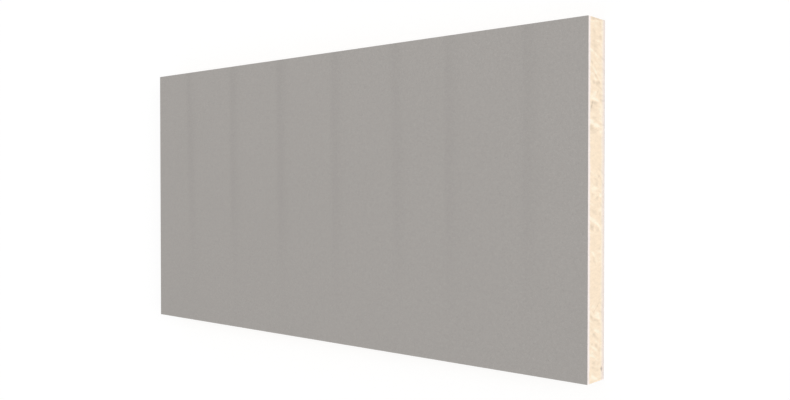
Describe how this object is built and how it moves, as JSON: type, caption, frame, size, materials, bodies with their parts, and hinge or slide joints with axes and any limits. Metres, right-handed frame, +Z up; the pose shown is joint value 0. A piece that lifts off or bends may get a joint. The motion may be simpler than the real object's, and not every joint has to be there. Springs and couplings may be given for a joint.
{
  "type": "polyisocyanurate insulation board",
  "caption": "Rigid foam insulation board for a flat roof: a closed-cell foam core between two thin grey facer sheets, sawn square on all sides.",
  "frame": {"origin": "centre of the back face, which the board lies on", "axes": "+X along the length, towards the end that the picture shows; +Y across the width; +Z up through the thickness, out of the front facer"},
  "size_m": [2.4384, 1.2192, 0.1143],
  "materials": {
    "facer": "matt warm-grey fibre felt, faintly rippled across the board",
    "foam": "matt cream closed-cell foam, sawn, with slanting swirls and small pits"
  },
  "bodies": {
    "root": {"back_facer": "facer", "foam_core": "foam", "front_facer": "facer"}
  },
  "joints": []
}
